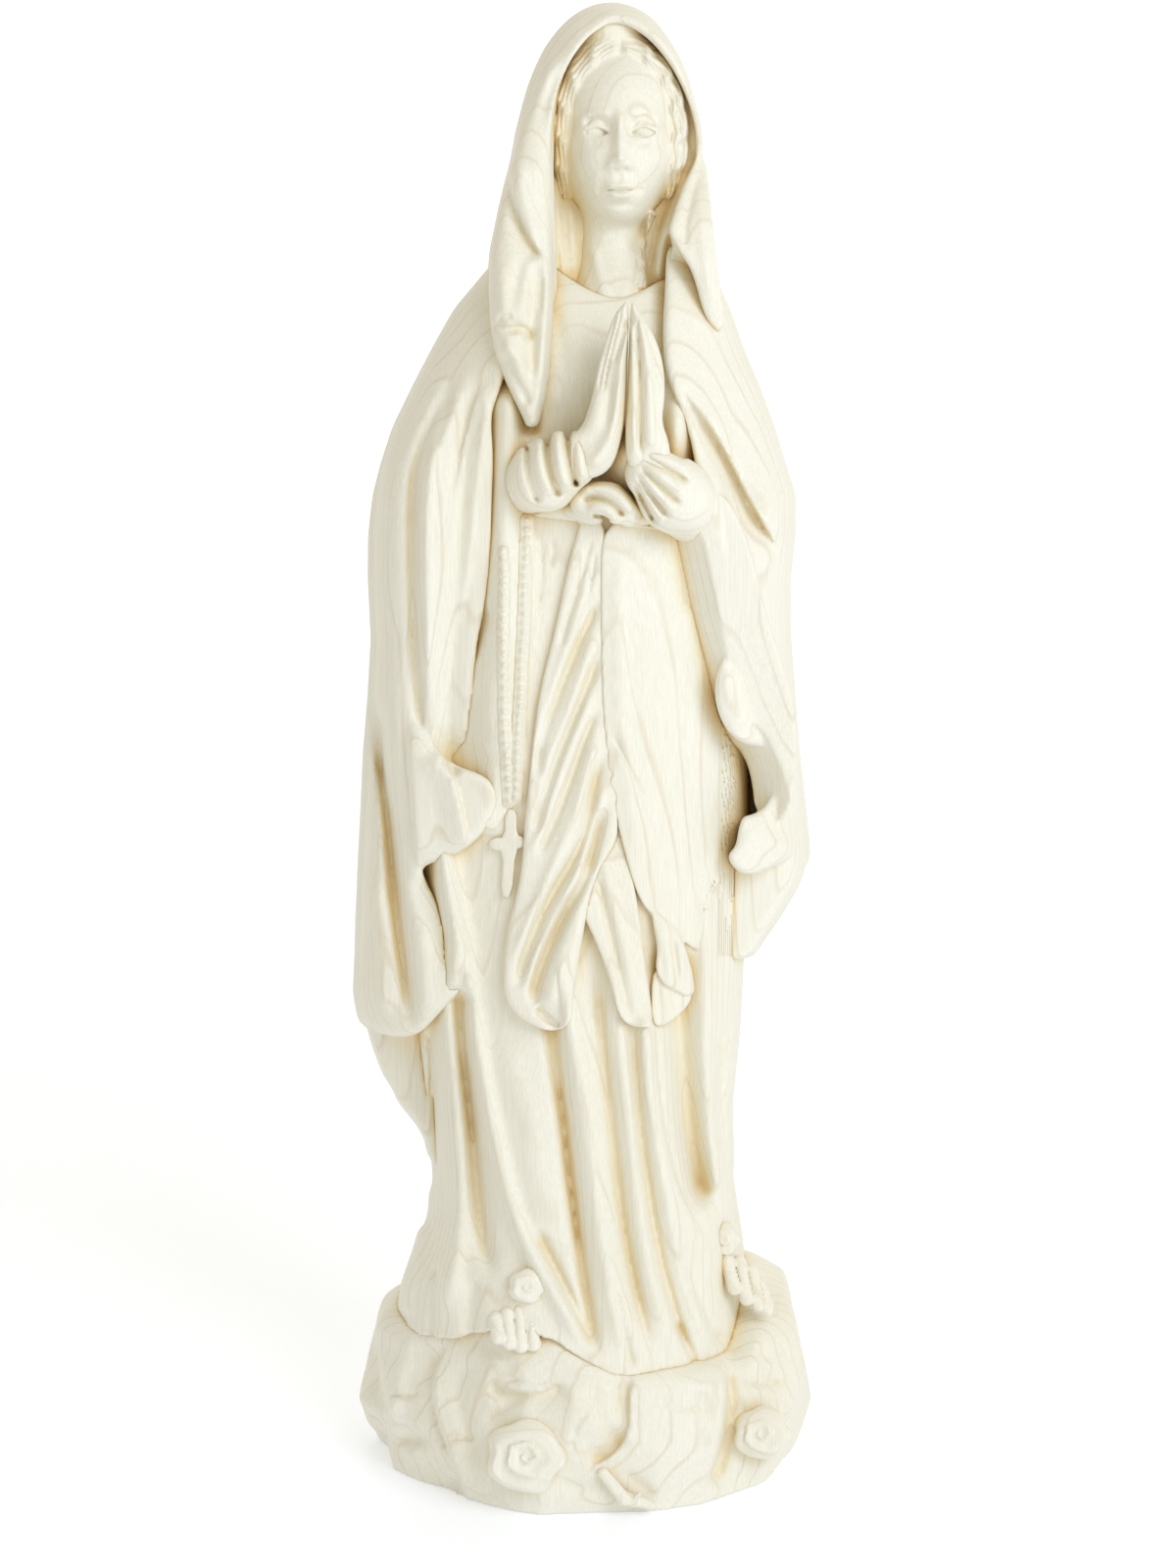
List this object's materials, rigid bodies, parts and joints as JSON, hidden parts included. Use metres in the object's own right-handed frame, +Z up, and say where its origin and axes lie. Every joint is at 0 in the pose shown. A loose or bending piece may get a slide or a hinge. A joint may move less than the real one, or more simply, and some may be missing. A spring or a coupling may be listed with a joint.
{
  "type": "carved madonna statue",
  "caption": "Standing carved maple madonna with joined hands, veil, open mantle, sash and relief rosary, on a rock base with roses.",
  "frame": {"origin": "centre of the rock's flat underside", "axes": "+Z up the figure, -Y the way the figure faces, +X the viewer's right from the front"},
  "size_m": [0.133, 0.124, 0.4],
  "materials": {
    "maple": "raw sanded maple, matte, with fine growth rings and tool marks",
    "dowel": "turned beech dowel, matte"
  },
  "bodies": {
    "root": {"rock_base": "maple", "gown_body": "maple", "head": "maple", "veil": "maple", "mantle_back": "maple", "mantle_right_side": "maple", "mantle_left_side": "maple", "right_sleeve": "maple", "left_sleeve": "maple", "right_hand": "maple", "left_hand": "maple", "sash_knot": "maple", "sash_right_tail": "maple", "sash_left_tail": "maple", "overskirt_panel": "maple", "rosary_outer_strand": "maple", "rosary_inner_strand": "maple", "rosary_cross": "maple", "right_foot": "maple", "left_foot": "maple", "right_foot_rose": "maple", "left_foot_rose": "maple", "base_rose_front": "maple", "base_rose_side": "maple", "thorn_branch": "maple", "base_dowel_right": "dowel", "base_dowel_left": "dowel", "neck_dowel": "dowel"}
  },
  "joints": []
}
